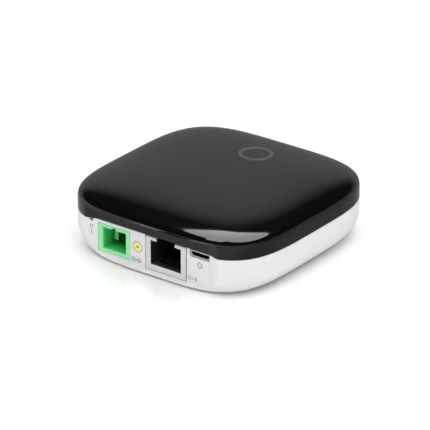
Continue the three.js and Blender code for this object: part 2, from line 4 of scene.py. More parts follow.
import bmesh
import bpy
import numpy as np
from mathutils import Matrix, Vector


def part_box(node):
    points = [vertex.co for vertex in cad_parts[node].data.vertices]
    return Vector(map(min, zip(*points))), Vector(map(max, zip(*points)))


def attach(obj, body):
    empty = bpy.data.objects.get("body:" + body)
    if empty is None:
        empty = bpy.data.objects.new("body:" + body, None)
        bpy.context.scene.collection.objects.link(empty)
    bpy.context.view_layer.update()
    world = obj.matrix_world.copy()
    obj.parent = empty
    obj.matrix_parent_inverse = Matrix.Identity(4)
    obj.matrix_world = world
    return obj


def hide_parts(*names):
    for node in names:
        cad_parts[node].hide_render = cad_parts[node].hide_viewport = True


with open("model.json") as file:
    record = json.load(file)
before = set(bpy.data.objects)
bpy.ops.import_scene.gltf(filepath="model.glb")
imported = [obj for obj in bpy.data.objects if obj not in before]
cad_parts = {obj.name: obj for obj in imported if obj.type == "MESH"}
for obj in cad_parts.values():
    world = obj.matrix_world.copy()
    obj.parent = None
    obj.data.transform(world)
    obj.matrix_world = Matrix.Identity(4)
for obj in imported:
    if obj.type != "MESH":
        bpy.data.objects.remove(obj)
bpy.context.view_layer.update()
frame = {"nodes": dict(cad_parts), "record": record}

MM = 0.001


def lowest(node):
    return np.array(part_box(node)[0]) / MM


def highest(node):
    return np.array(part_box(node)[1]) / MM


def middle(node):
    return (lowest(node) + highest(node)) / 2


# ---- Driving dimensions, in millimetres, from the frame -------------------------------------------

HALF_WIDTH = (highest("top_cover")[0] - lowest("top_cover")[0]) / 2
HALF_DEPTH = 38.4
CENTRE_Y = highest("top_cover")[1] - HALF_DEPTH
SQUARENESS = 4
FLOOR_Z = lowest("base_shell")[2]
TOP_Z = highest("top_cover")[2]
SEAM_Z = 13.85
RIM_Z = SEAM_Z - 0.12
WALL = 1.8
TRAY_DRAW_IN_SIDES = 6.02
TRAY_DRAW_IN_ENDS = 2.76
TRAY_CURVE = 4.12
COVER_ROLL = 7.15
COVER_CROWN = 2.36
FACE_Y = lowest("rj45_shield")[1]
FACE_HALF = 22.3
FACE_FLARE = 0.31
FACE_END = 31.0
FADE_FROM = 22.6
LIP_Z = 1.65
BROW_Z = 17.9
BROW_BEVEL = (0.95, 1.0)
FIT = 0.1
RING_INNER = 4.3
RING_GAP = 0.06
CUT_REACH = 3.0

BODY = "terminal"
WELD = 1e-7
SMOOTH_BELOW = math.radians(35)
ROUND_ABOVE = math.radians(30)


# ---- Meshes ---------------------------------------------------------------------------------------

def add_object(name, verts, faces):
    mesh = bpy.data.meshes.new(name)
    mesh.from_pydata([tuple(v) for v in np.asarray(verts) * MM], [], faces)
    mesh.validate()
    obj = bpy.data.objects.new(name, mesh)
    bpy.context.scene.collection.objects.link(obj)
    tidy_normals(obj)
    return obj


def tidy_normals(obj):
    work = bmesh.new()
    work.from_mesh(obj.data)
    bmesh.ops.recalc_face_normals(work, faces=work.faces)
    work.to_mesh(obj.data)
    work.free()
    obj.data.shade_smooth()
    obj.data.set_sharp_from_angle(angle=SMOOTH_BELOW)


def loft(name, rows, caps=(True, True)):
    """A closed skin through rings that all have the same number of points. An end is a flat cap, or
    a single point where its row holds only one."""
    verts, starts = [], []
    for row in rows:
        starts.append(len(verts))
        verts.extend(row)
    faces = []
    count = max(len(row) for row in rows)
    for a, b, first, second in zip(starts, starts[1:], rows, rows[1:]):
        for i in range(count):
            j = (i + 1) % count
            if len(first) == 1:
                faces.append((a, b + j, b + i))
            elif len(second) == 1:
                faces.append((a + i, a + j, b))
            else:
                faces.append((a + i, a + j, b + j, b + i))
    if caps[0] and len(rows[0]) > 1:
        faces.append(tuple(range(starts[0], starts[0] + count)))
    if caps[1] and len(rows[-1]) > 1:
        faces.append(tuple(range(starts[-1] + count - 1, starts[-1] - 1, -1)))
    return add_object(name, verts, faces)


def box_object(name, low, high):
    x0, y0, z0 = low
    x1, y1, z1 = high
    rows = [[(x0, y0, z), (x1, y0, z), (x1, y1, z), (x0, y1, z)] for z in (z0, z1)]
    return loft(name, rows)


def ring_points(radius, count):
    angle = np.arange(count) * 2 * math.pi / count
    return np.stack([radius * np.cos(angle), radius * np.sin(angle)], 1)


def turned(name, profile, centre, count=48):
    """A solid lathed about a vertical axis. The profile lists (radius, height); it is closed on the
    axis at both ends or meets itself."""
    rows = []
    for radius, height in profile:
        flat = ring_points(radius, count) if radius > 0 else np.zeros((1, 2))
        rows.append(np.column_stack([flat, np.full(len(flat), height)]) + np.asarray(centre))
    closed = len(rows[0]) > 1 and len(rows[-1]) > 1
    if closed:
        rows.append(rows[0])
    obj = loft(name, rows, caps=(not closed, not closed))
    if closed:
        weld(obj)
        tidy_normals(obj)
    return obj


def weld(obj):
    work = bmesh.new()
    work.from_mesh(obj.data)
    bmesh.ops.remove_doubles(work, verts=work.verts, dist=WELD)
    work.to_mesh(obj.data)
    work.free()


def apply_modifiers(obj):
    bpy.context.view_layer.update()
    graph = bpy.context.evaluated_depsgraph_get()
    mesh = bpy.data.meshes.new_from_object(obj.evaluated_get(graph))
    obj.modifiers.clear()
    obj.data = mesh


def cut(obj, others):
    """Takes the other solids out of this one, and removes them."""
    for other in others:
        step = obj.modifiers.new("difference", "BOOLEAN")
        step.operation = "DIFFERENCE"
        step.solver = "EXACT"
        step.object = other
    apply_modifiers(obj)
    for other in others:
        bpy.data.objects.remove(other)
    tidy_normals(obj)
    return obj


def soften(obj, width, segments):
    """Rounds every clear edge, after flat triangles are joined into whole faces."""
    work = bmesh.new()
    work.from_mesh(obj.data)
    bmesh.ops.remove_doubles(work, verts=work.verts, dist=WELD)
    bmesh.ops.dissolve_limit(work, angle_limit=math.radians(0.5), verts=work.verts, edges=work.edges)
    work.to_mesh(obj.data)
    work.free()
    step = obj.modifiers.new("edge round", "BEVEL")
    step.width = width * MM
    step.segments = segments
    step.limit_method = "ANGLE"
    step.angle_limit = ROUND_ABOVE
    step.use_clamp_overlap = True
    step.harden_normals = False
    apply_modifiers(obj)
    tidy_normals(obj)


def joined(name, parts):
    """Several separate meshes as one object."""
    verts, faces = [], []
    for part in parts:
        start = len(verts)
        verts.extend(np.array([v.co for v in part.data.vertices]) / MM)
        faces.extend(tuple(start + i for i in face.vertices) for face in part.data.polygons)
        bpy.data.objects.remove(part)
    return add_object(name, verts, faces)


# ---- Outline shared by both shells ------------------------------------------------------------------

def outline_y(x, wide, deep):
    """Front edge of the rounded square at x, for an outline of that size along X and along Y."""
    share = np.clip(np.abs(x) / (HALF_WIDTH * wide), 0, 1)
    return CENTRE_Y - HALF_DEPTH * deep * (1 - share ** SQUARENESS) ** (1 / SQUARENESS)


def full_outline():
    """Points of the full-size outline, counter-clockwise from the left end of the port face: evenly
    spaced along it, and closer across the port face."""
    flat = np.arange(-FACE_HALF + 0.3, FACE_HALF - 0.2, 0.5)
    flare = np.linspace(FACE_HALF, FACE_END, 31)
    front = np.concatenate([-flare[::-1], flat, flare])
    start = math.atan2(outline_y(np.array(FACE_END), 1, 1) - CENTRE_Y, FACE_END)
    angles = np.linspace(start, math.pi - start, 6000)
    across = np.abs(np.cos(angles)) / HALF_WIDTH
    along = np.abs(np.sin(angles)) / HALF_DEPTH
    reach = (across ** SQUARENESS + along ** SQUARENESS) ** (-1 / SQUARENESS)
    x, y = reach * np.cos(angles), reach * np.sin(angles)
    travel = np.concatenate([[0], np.cumsum(np.hypot(np.diff(x), np.diff(y)))])
    stops = np.linspace(0, travel[-1], 301)[1:-1]
    x = np.concatenate([front, np.interp(stops, travel, x)])
    y = np.concatenate([outline_y(front, 1, 1) - CENTRE_Y, np.interp(stops, travel, y)])
    return x, y, np.arange(len(x)) < len(front)


OUT_X, OUT_Y, ON_FRONT = full_outline()


def face_plane(x, inset=0.0, corner=0.3):
    """The port face: flat in the middle, with shallow flares whose corners are slightly rounded."""
    past = np.abs(x) - FACE_HALF
    return FACE_Y + inset - FACE_FLARE * (past + np.sqrt(past ** 2 + corner ** 2)) / 2


def soft_max(a, b, blend):
    """The larger of two values, rounded over where they cross."""
    return (a + b + np.sqrt((a - b) ** 2 + blend ** 2)) / 2


def ring(size, z, fixed_front=False):
    """One ring of the outline at a height. The size is one number, or one along X and one along Y.
    With fixed_front, points on the port face keep their x."""
    wide, deep = np.broadcast_to(size, 2)
    x, y = OUT_X * wide, OUT_Y * deep + CENTRE_Y
    if fixed_front:
        fade = np.clip((np.abs(OUT_X) - FADE_FROM) / (FACE_END - FADE_FROM), 0, 1)
        fade = fade * fade * (3 - 2 * fade)
        kept = OUT_X * (1 + (wide - 1) * fade)
        x = np.where(ON_FRONT, kept, x)
        y = np.where(ON_FRONT, outline_y(kept, wide, deep), y)
    return np.stack([x, y, np.full(len(x), float(z))], 1)


def behind_face(row, inset=0.0, blend=0.5):
    """The row with whatever stands in front of the port face drawn back to it."""
    row = row.copy()
    row[:, 1] = soft_max(row[:, 1], face_plane(row[:, 0], inset), blend)
    return row


# ---- White tray -------------------------------------------------------------------------------------

def tray_size(z, inset=0.0):
    """The tray's size along X and along Y at a height, drawn in by the inset all round."""
    bend = (max(0.0, SEAM_Z - z) / (SEAM_Z - FLOOR_Z)) ** TRAY_CURVE
    return np.array([1 - (TRAY_DRAW_IN_SIDES * bend + inset) / HALF_WIDTH,
                     1 - (TRAY_DRAW_IN_ENDS * bend + inset) / HALF_DEPTH])


def lip_rows():
    """From the port face down onto the ledge below it, out over the rounded lip, and down."""
    rows = []
    steps = [(0.5, 0.0, 0), (0.28, 0.07, 0), (0.12, 0.2, 0), (0.03, 0.4, 0), (0.0, 0.62, 0),
             (-0.04, 0.75, 1), (-0.1, 0.45, 1), (-0.2, 0.22, 1), (-0.36, 0.07, 1), (-0.56, 0.0, 1)]
    for rise, run, outer in steps:
        z = LIP_Z + rise
        free = ring(tray_size(z), z, True)
        held = behind_face(free, 0.0, 0.35)
        depth = held[:, 1] - free[:, 1]
        row = free.copy()
        reach = np.minimum(run, depth * run / 2)
        row[:, 1] = np.where(outer, free[:, 1] + reach, held[:, 1] - reach)
        rows.append(row)
    return rows


def tray(edge_run=0.8, edge_rise=0.3):
    """The white shell: floor, rounded edge, side wall with the port face, rim, and back down inside."""
    rows = [ring(tray_size(FLOOR_Z, 1.2), FLOOR_Z, True)]
    for turn in np.linspace(0, 1, 6):
        angle = turn * math.pi / 2
        z = FLOOR_Z + edge_rise * (1 - math.cos(angle))
        rounded = tray_size(FLOOR_Z, edge_run * (1 - math.sin(angle)))
        rows.append(ring(np.minimum(rounded, tray_size(z)), z, True))
    for z in np.arange(FLOOR_Z + 0.45, LIP_Z - 0.6, 0.12):
        rows.append(ring(tray_size(z), z, True))
    rows.extend(lip_rows()[::-1])
    for z in np.linspace(LIP_Z + 0.7, RIM_Z - 0.15, 34):
        rows.append(behind_face(ring(tray_size(z), z, True)))
    for drop, inset in ((0.05, 0.015), (0.0, 0.09)):
        rows.append(behind_face(ring(tray_size(SEAM_Z, inset), RIM_Z - drop, True), inset))
    rows.append(behind_face(ring(tray_size(SEAM_Z, WALL), RIM_Z, True), WALL))
    inside_floor = FLOOR_Z + WALL
    for z in np.linspace(RIM_Z - 0.3, inside_floor + 0.9, 14):
        rows.append(behind_face(ring(tray_size(z, WALL), z, True), WALL))
    for shrink, rise in ((0.25, 0.45), (0.7, 0.15), (1.3, 0.0)):
        size = tray_size(inside_floor + 0.9, WALL + shrink)
        rows.append(behind_face(ring(size, inside_floor + rise, True), WALL + shrink))
    shell = loft("tray_fine", rows)
    return cut(shell, tray_cutters())


def around(node, gap, up=0.0, right=0.0):
    """The node's box grown by the gap, and run well out through the port face and in behind."""
    low, high = lowest(node) - gap, highest(node) + gap
    high[0] += right
    low[1] = FACE_Y - CUT_REACH
    high[1] += CUT_REACH
    high[2] += up
    return low, high


def tray_cutters():
    cutters = [
        box_object("cut_rj45", *around("rj45_shield", np.array([0.2, FIT, 0.15]), right=0.3, up=3)),
        box_object("cut_sc", *around("sc_adapter_housing", FIT)),
        usb_cutter(),
        reset_cutter(),
    ]
    for index in range(1, 5):
        foot = middle(f"rubber_foot_{index}")
        radius = (highest(f"rubber_foot_{index}")[0] - lowest(f"rubber_foot_{index}")[0]) / 2 + FIT
        profile = [(0, -1), (radius, -1), (radius, FLOOR_Z + 0.45), (0, FLOOR_Z + 0.45)]
        cutters.append(turned(f"cut_foot_{index}", profile, (foot[0], foot[1], 0)))
    cutters.extend(keyhole_cutter(side) for side in (-1, 1))
    return cutters


def reset_cutter(radius=0.65, lift=0.25, height=1.5):
    """The reset notch: a round-bottomed slot that is open at the seam."""
    plunger = middle("reset_switch_plunger")
    notch = [(radius, height), (-radius, height)]
    notch += [(radius * math.cos(a), radius * math.sin(a))
              for a in np.linspace(math.pi, 2 * math.pi, 15)]
    rows = [[(plunger[0] + p, y, plunger[2] + lift + q) for p, q in notch]
            for y in (FACE_Y - 4, FACE_Y + CUT_REACH)]
    return loft("cut_reset", rows)


def usb_cutter(gap=0.12, corner=0.7):
    """The power slot: open at the top, with its two lower corners cut off like the receptacle's."""
    low, high = lowest("micro_usb_shell") - gap, highest("micro_usb_shell") + gap
    outline = [(low[0] + corner, low[2]), (high[0] - corner, low[2]), (high[0], low[2] + corner),
               (high[0], RIM_Z + 1), (low[0], RIM_Z + 1), (low[0], low[2] + corner)]
    return loft("cut_usb", [[(x, y, z) for x, z in outline]
                            for y in (FACE_Y - CUT_REACH, FACE_Y + CUT_REACH)])


def keyhole_cutter(side, x=24.0, y=-2.0, entry=3.6, slot=2.05, run=6.5):
    """The keyhole's outline: most of a circle, then the slot with its round end."""
    neck = math.asin(slot / entry)
    lower = [(entry * math.sin(a), entry * math.cos(a))
             for a in np.linspace(neck, 2 * math.pi - neck, 40)]
    upper = [(-slot * math.cos(a), run + slot * math.sin(a))
             for a in np.linspace(0, math.pi, 17)]
    rows = [[(side * x + p, y + q, z) for p, q in lower + upper] for z in (-1, FLOOR_Z + WALL + 1)]
    return loft(f"cut_keyhole_{side}", rows)


# ---- Black cover ------------------------------------------------------------------------------------

def cover_size(z, top=TOP_Z):
    """The dome's size at a height: upright at the seam, then rolled over to the crown."""
    rise = min(1.0, max(0.0, (z - SEAM_Z) / (top - SEAM_Z)))
    return (1 - rise ** COVER_ROLL) ** (1 / COVER_CROWN)


def cover_height(size, top=TOP_Z):
    """Height at which the dome has that size, above its rolled edge."""
    low, high = SEAM_Z, top
    for _ in range(50):
        mid = (low + high) / 2
        if cover_size(mid, top) > size:
            low = mid
        else:
            high = mid
    return low


def bevel_width(row):
    """The bevel's share of its full run: narrow by the fibre port, full from the middle on."""
    return np.interp(row[:, 0], [-10, -3], [0.25, 1])


def brow_rows():
    """Where the dome overhangs the port face: its lower edge is bevelled, then it runs back to the
    face. Away from the face the same rows simply follow the side wall down."""
    rows = []
    run, fall = BROW_BEVEL
    for share in (-0.1, -0.03, 0.02, 0.06, 0.35, 0.65, 0.94, 1.0):
        z = BROW_Z + fall * (1 - share)
        free = ring(cover_size(z), z)
        depth = np.maximum(0, behind_face(free, 0, 0.1)[:, 1] - free[:, 1])
        row = free.copy()
        row[:, 1] += np.minimum(run * bevel_width(free), depth) * max(0, share - 0.02)
        rows.append(row)
    for share, drop in ((0.05, 0.0), (0.5, 0.02), (0.92, 0.06), (0.985, 0.16), (1.0, 0.35)):
        z = BROW_Z - drop
        free = ring(cover_size(z), z)
        held = behind_face(free, 0, 0.1)
        row = free.copy()
        start = np.minimum(run * bevel_width(free), np.maximum(0, held[:, 1] - free[:, 1]))
        row[:, 1] = free[:, 1] + start + (held[:, 1] - free[:, 1] - start) * share
        rows.append(row)
    return rows


def cover():
    """The black shell: dome, brow, skirt, rim, and back up inside."""
    rows = [[(0.0, CENTRE_Y, TOP_Z)]]
    for size in np.concatenate([np.linspace(0.02, 0.6, 16), np.linspace(0.63, 0.9, 14),
                                np.linspace(0.91, 0.965, 12)]):
        rows.append(ring(size, cover_height(size)))
    for z in np.linspace(cover_height(0.965) - 0.2, BROW_Z + BROW_BEVEL[1] + 0.2, 7):
        rows.append(ring(cover_size(z), z))
    rows.extend(brow_rows())
    for z in np.linspace(BROW_Z - 0.7, SEAM_Z + 0.25, 12):
        rows.append(behind_face(ring(cover_size(z), z), 0, 0.15))
    for rise, inset in ((0.1, 0.02), (0.03, 0.07), (0.0, 0.16)):
        rows.append(behind_face(ring(cover_size(SEAM_Z + rise) - inset / HALF_WIDTH, SEAM_Z + rise),
                                inset, 0.15))
    inner_top = TOP_Z - WALL
    wall = 1 - WALL / HALF_WIDTH
    for z in np.linspace(SEAM_Z, BROW_Z + 1.2, 7):
        rows.append(behind_face(ring(wall * cover_size(z, inner_top), z), WALL, 0.2))
    for size in (0.93, 0.9, 0.86, 0.8, 0.7, 0.55, 0.35, 0.15):
        rows.append(behind_face(ring(wall * size, cover_height(size, inner_top)), WALL, 0.2))
    rows.append([(0.0, CENTRE_Y, inner_top)])
    shell = loft("cover_fine", rows)
    low, high = lowest("status_ring"), highest("status_ring")
    inner, outer = RING_INNER - RING_GAP, (high[0] - low[0]) / 2 + RING_GAP
    bottom = high[2] - 1.1
    above = TOP_Z + 1
    groove = turned("cut_ring", [(inner, bottom), (outer, bottom), (outer, above), (inner, above)],
                    (0, (low[1] + high[1]) / 2, 0), count=96)
    return cut(shell, [groove])


def dome_z(x, y):
    """Height of the dome over a point of the plan."""
    share = (np.abs(x) / HALF_WIDTH) ** SQUARENESS + (np.abs(y - CENTRE_Y) / HALF_DEPTH) ** SQUARENESS
    return cover_height(share ** (1 / SQUARENESS))


def status_ring():
    """A plain ring inlay whose top follows the dome, with slightly rounded edges."""
    low, high = lowest("status_ring"), highest("status_ring")
    outer = (high[0] - low[0]) / 2
    centre_y = (low[1] + high[1]) / 2
    rows = []
    for radius, drop in ((RING_INNER, 0.8), (RING_INNER, 0.06), (RING_INNER + 0.05, 0.005),
                         (RING_INNER + 0.6, 0), (outer - 0.6, 0), (outer - 0.05, 0.005),
                         (outer, 0.06), (outer, 0.8)):
        flat = ring_points(radius, 96)
        rows.append([(p, q + centre_y, dome_z(p, q + centre_y) - drop) for p, q in flat])
    rows.append(rows[0])
    band = loft("status_ring_fine", rows, caps=(False, False))
    weld(band)
    tidy_normals(band)
    return band


# ---- Camera -----------------------------------------------------------------------------------------

CAMERA_AZIMUTH = math.radians(37.02)
CAMERA_HEIGHT = math.radians(24.86)
CAMERA_DISTANCE = 1100.7
CAMERA_TARGET = np.array([-0.978, -0.767, 8.467])
SENSOR_WIDTH = 36.0
LENS = 284.65

toward_camera = np.array([math.sin(CAMERA_AZIMUTH) * math.cos(CAMERA_HEIGHT),
                          -math.cos(CAMERA_AZIMUTH) * math.cos(CAMERA_HEIGHT),
                          math.sin(CAMERA_HEIGHT)])


def add_camera():
    data = bpy.data.cameras.new("camera")
    data.sensor_width = SENSOR_WIDTH
    data.lens = LENS
    data.clip_start = 0.01
    data.clip_end = 20
    camera = bpy.data.objects.new("camera", data)
    bpy.context.scene.collection.objects.link(camera)
    camera.location = (CAMERA_TARGET + toward_camera * CAMERA_DISTANCE) * MM
    camera.rotation_euler = Vector(-toward_camera).to_track_quat("-Z", "Y").to_euler()
    bpy.context.scene.camera = camera


add_camera()

# ---- Materials --------------------------------------------------------------------------------------

def new_material(name):
    material = bpy.data.materials.new(name)
    material.use_nodes = True
    tree = material.node_tree
    return material, tree, tree.nodes["Principled BSDF"]


def noise(tree, scale, detail=3.0):
    place = tree.nodes.new("ShaderNodeTexCoord")
    texture = tree.nodes.new("ShaderNodeTexNoise")
    texture.inputs["Scale"].default_value = scale
    texture.inputs["Detail"].default_value = detail
    texture.inputs["Roughness"].default_value = 0.5
    tree.links.new(place.outputs["Object"], texture.inputs["Vector"])
    return texture.outputs["Fac"]


def remap(tree, source, low, high):
    node = tree.nodes.new("ShaderNodeMapRange")
    node.inputs["From Min"].default_value = 0.3
    node.inputs["From Max"].default_value = 0.7
    node.inputs["To Min"].default_value = low
    node.inputs["To Max"].default_value = high
    tree.links.new(source, node.inputs["Value"])
    return node.outputs["Result"]


def tint(tree, source, dark, light):
    ramp = tree.nodes.new("ShaderNodeValToRGB")
    ramp.color_ramp.elements[0].position = 0.3
    ramp.color_ramp.elements[1].position = 0.7
    ramp.color_ramp.elements[0].color = (*dark, 1)
    ramp.color_ramp.elements[1].color = (*light, 1)
    tree.links.new(source, ramp.inputs["Fac"])
    return ramp.outputs["Color"]


def bump(tree, shader, source, height):
    node = tree.nodes.new("ShaderNodeBump")
    node.inputs["Strength"].default_value = 1
    node.inputs["Distance"].default_value = height * MM
    tree.links.new(source, node.inputs["Height"])
    tree.links.new(node.outputs["Normal"], shader.inputs["Normal"])


def plain(name, colour, roughness, metallic=0.0, spread=0.06, grain=900.0, relief=0.004,
          rough_spread=0.12, blotch=60.0, ior=1.47):
    """Moulded, plated or sheet stuff: slow colour drift, uneven roughness and a fine surface grain."""
    material, tree, shader = new_material(name)
    base = np.array(colour)
    drift = noise(tree, blotch)
    colours = tint(tree, drift, tuple(base * (1 - spread)), tuple(np.minimum(1, base * (1 + spread))))
    tree.links.new(colours, shader.inputs["Base Color"])
    rough = remap(tree, noise(tree, blotch * 4, 4), roughness * (1 - rough_spread),
                  min(1, roughness * (1 + rough_spread)))
    tree.links.new(rough, shader.inputs["Roughness"])
    shader.inputs["Metallic"].default_value = metallic
    shader.inputs["IOR"].default_value = ior
    bump(tree, shader, noise(tree, grain, 2), relief)
    return material


def painted_depth_shade(name, stops, roughness, reach=12.0, spread=0.03, **more):
    """Stuff seen down an opening, with painted shade. The stops give its colour at depths behind the
    port face, in millimetres, going darker deeper in where shade falls; the usual slow drift lies on
    top."""
    material = plain(name, (1, 1, 1), roughness, spread=0, **more)
    tree = material.node_tree
    shader = tree.nodes["Principled BSDF"]
    place = tree.nodes.new("ShaderNodeTexCoord")
    split = tree.nodes.new("ShaderNodeSeparateXYZ")
    tree.links.new(place.outputs["Object"], split.inputs["Vector"])
    share = tree.nodes.new("ShaderNodeMapRange")
    share.inputs["From Min"].default_value = FACE_Y * MM
    share.inputs["From Max"].default_value = (FACE_Y + reach) * MM
    tree.links.new(split.outputs["Y"], share.inputs["Value"])
    ramp = tree.nodes.new("ShaderNodeValToRGB")
    marks = ramp.color_ramp.elements
    marks[0].position, marks[0].color = stops[0][0] / reach, (*stops[0][1], 1)
    marks[1].position, marks[1].color = stops[-1][0] / reach, (*stops[-1][1], 1)
    for depth, colour in stops[1:-1]:
        marks.new(depth / reach).color = (*colour, 1)
    tree.links.new(share.outputs["Result"], ramp.inputs["Fac"])
    mix = tree.nodes.new("ShaderNodeMix")
    mix.data_type = "RGBA"
    mix.blend_type = "MULTIPLY"
    mix.inputs["Factor"].default_value = 1
    drift = tint(tree, noise(tree, 60.0), (1 - spread,) * 3, (1,) * 3)
    tree.links.new(ramp.outputs["Color"], mix.inputs["A"])
    tree.links.new(drift, mix.inputs["B"])
    tree.links.new(mix.outputs["Result"], shader.inputs["Base Color"])
    return material


# Green of the fibre port's face, made lighter than the plastic itself by a painted sheen.
FACE_GREEN_WITH_PAINTED_SHEEN = (0.28, 0.74, 0.36)

MATERIALS = {
    "white_plastic": plain("white_plastic", (0.68, 0.68, 0.684), 0.4, spread=0.006, relief=0.0025),
    "black_gloss": plain("black_gloss", (0.0026, 0.0026, 0.0028), 0.075, ior=1.4, relief=0.0003,
                         grain=260.0, blotch=25.0),
    "ring_plastic": plain("ring_plastic", (0.042, 0.042, 0.044), 0.16, ior=1.4, relief=0.0003),
    "clear_plastic": plain("clear_plastic", (0.7, 0.74, 0.77), 0.15),
    "turned_steel": plain("turned_steel", (0.56, 0.56, 0.57), 0.3, 1.0, relief=0.002),
    "plated_steel": plain("plated_steel", (0.66, 0.66, 0.655), 0.45, 0.3, relief=0.001),
    "gold_plate": plain("gold_plate", (0.70, 0.48, 0.16), 0.3, 1.0, relief=0.001),
    # The jack's contacts: gold darkened almost to black as painted shade down the network socket.
    "contact_gold_painted_shade": plain("contact_gold_painted_shade", (0.014, 0.01, 0.005), 0.5, 1.0, relief=0.001),
    "aluminium": plain("aluminium", (0.66, 0.67, 0.68), 0.36, 1.0, relief=0.003),
    # Green plastic: painted sheen on the port face, then painted shade going darker deeper down the
    # fibre port.
    "green_plastic": painted_depth_shade("green_plastic", [(0, FACE_GREEN_WITH_PAINTED_SHEEN), (0.3, FACE_GREEN_WITH_PAINTED_SHEEN),
                                                 (1.2, (0.05, 0.5, 0.13)), (4, (0.03, 0.45, 0.095)),
                                                 (7.5, (0.01, 0.26, 0.04)), (10, (0.002, 0.04, 0.008))],
                               0.4),
    "black_plastic": plain("black_plastic", (0.008, 0.008, 0.0085), 0.5),
    # Latch clip: bright green at its front, then painted shade where it lies deep inside the fibre
    # port.
    "clip_plastic": painted_depth_shade("clip_plastic", [(5.24, (0.16, 0.72, 0.25)), (5.4, (0.006, 0.07, 0.014)),
                                               (12, (0.002, 0.03, 0.006))], 0.5),
    # Sleeve and ferrule: painted shade darkens them deep inside the fibre port.
    "zirconia": painted_depth_shade("zirconia", [(4, (0.6, 0.58, 0.54)), (6, (0.04, 0.02, 0.015))], 0.3,
                          relief=0.0005),
    "rubber": plain("rubber", (0.16, 0.16, 0.165), 0.85, relief=0.012, grain=1600.0),
    "chip_epoxy": plain("chip_epoxy", (0.018, 0.018, 0.019), 0.55, relief=0.006, grain=2400.0),
    "pad": plain("pad", (0.25, 0.36, 0.5), 0.9, relief=0.02),
    "ferrite": plain("ferrite", (0.045, 0.045, 0.047), 0.7, relief=0.01, grain=2400.0),
    # Shell of the power socket: steel at its mouth, painted shade inside.
    "usb_steel_painted_shade": painted_depth_shade("usb_steel_painted_shade", [(0.4, (0.36, 0.36, 0.365)), (0.55, (0.012, 0.012, 0.013))],
                           0.45, relief=0.001),
    "led_body": plain("led_body", (0.85, 0.85, 0.8), 0.4),
    "label": plain("label", (0.8, 0.8, 0.79), 0.6, relief=0.004, grain=3000.0),
    "board": plain("board", (0.012, 0.12, 0.045), 0.35),
    "grey_ink": plain("grey_ink", (0.25, 0.25, 0.255), 0.6, relief=0.002, grain=3000.0),
    "yellow_ink": plain("yellow_ink", (0.78, 0.76, 0.22), 0.55, relief=0.002, grain=3000.0),
}


# ---- Pieces -----------------------------------------------------------------------------------------

slots = {part["node"]: part["material_slot"] for part in frame["record"]["subparts"]}
body_of = {node: body
           for body, nodes in frame["record"]["behaviour"]["bodies"].items() for node in nodes}
replaced = set()


def put(obj, node):
    """Lets the object stand for the node: its material, its body and its place."""
    obj.data.materials.clear()
    obj.data.materials.append(MATERIALS[slots[node]])
    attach(obj, body_of[node])
    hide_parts(node)
    replaced.add(node)


def refined(node, width, segments=2):
    """The node's own shape with its edges rounded."""
    obj = frame["nodes"][node].copy()
    obj.data = obj.data.copy()
    obj.name = node + "_fine"
    obj.parent = None
    obj.matrix_world = frame["nodes"][node].matrix_world.copy()
    bpy.context.scene.collection.objects.link(obj)
    soften(obj, width, segments)
    put(obj, node)
    return obj


put(tray(), "base_shell")
put(cover(), "top_cover")
put(status_ring(), "status_ring")
# How far each piece's edges are rounded, in mm.
EDGE_ROUNDING = {
    "sc_adapter_housing": 0.22,
    "sc_latch_clip": 0.1,
    "rj45_shield": 0.1,
    "rj45_insulator": 0.12,
    "micro_usb_shell": 0.08,
    "micro_usb_tongue": 0.06,
    "reset_switch_plunger": 0.08,
    "reset_switch_body": 0.1,
    "rating_label": 0.02,
    "main_board": 0.08,
}
for name, width in EDGE_ROUNDING.items():
    refined(name, width)
# The power socket's shell takes the steel with painted shade inside.
bpy.data.objects["micro_usb_shell_fine"].data.materials[0] = MATERIALS["usb_steel_painted_shade"]
for index in range(1, 9):
    # The contacts take the gold darkened as painted shade.
    contact = refined(f"rj45_contact_{index}", 0.05)
    contact.data.materials[0] = MATERIALS["contact_gold_painted_shade"]
for index in range(1, 5):
    refined(f"rubber_foot_{index}", 0.3, 3)

for node, obj in frame["nodes"].items():
    if node not in replaced:
        obj.data.materials.clear()
        obj.data.materials.append(MATERIALS[slots[node]])


# ---- Printed marks: plain generic signs, raised by the thickness of the ink -----------------------

INK = 0.025
LINE = 0.3
FINE_LINE = 0.22


def face_y(x):
    return float(face_plane(np.array(x)))


def stroke(name, points, width, closed=False):
    """A line of ink on the port face, through points given as (x, z)."""
    points = np.array(points, float)
    ahead = np.roll(points, -1, 0) - points
    if not closed:
        ahead[-1] = ahead[-2]
    before = np.roll(ahead, 1, 0)
    if not closed:
        before[0] = ahead[0]
    ahead /= np.linalg.norm(ahead, axis=1)[:, None]
    before /= np.linalg.norm(before, axis=1)[:, None]
    way = ahead + before
    way /= np.linalg.norm(way, axis=1)[:, None]
    out = np.stack([-way[:, 1], way[:, 0]], 1)
    out *= (width / 2 / np.maximum(0.5, (way * ahead).sum(1)))[:, None]
    rows = []
    for (x, z), (dx, dz) in zip(points, out):
        front, back = face_y(x) - INK, face_y(x) + INK
        rows.append([(x - dx, front, z - dz), (x + dx, front, z + dz),
                     (x + dx, back, z + dz), (x - dx, back, z - dz)])
    if closed:
        rows.append(rows[0])
    obj = loft(name, rows, caps=(not closed, not closed))
    if closed:
        weld(obj)
        tidy_normals(obj)
    return obj


def arc(x, z, radius, start, end, steps=20):
    """Points on an arc, with angles in degrees anticlockwise from +X."""
    return [(x + radius * math.cos(math.radians(a)), z + radius * math.sin(math.radians(a)))
            for a in np.linspace(start, end, steps)]


def circle(name, x, z, radius, width):
    return stroke(name, arc(x, z, radius, 0, 360, 29)[:-1], width, closed=True)


def disc(name, x, z, radius, lift=0.0):
    flat = ring_points(radius, 36)
    rows = [[(x + p, face_y(x) + depth, z + q) for p, q in flat] for depth in (-INK - lift, INK)]
    return loft(name, rows)


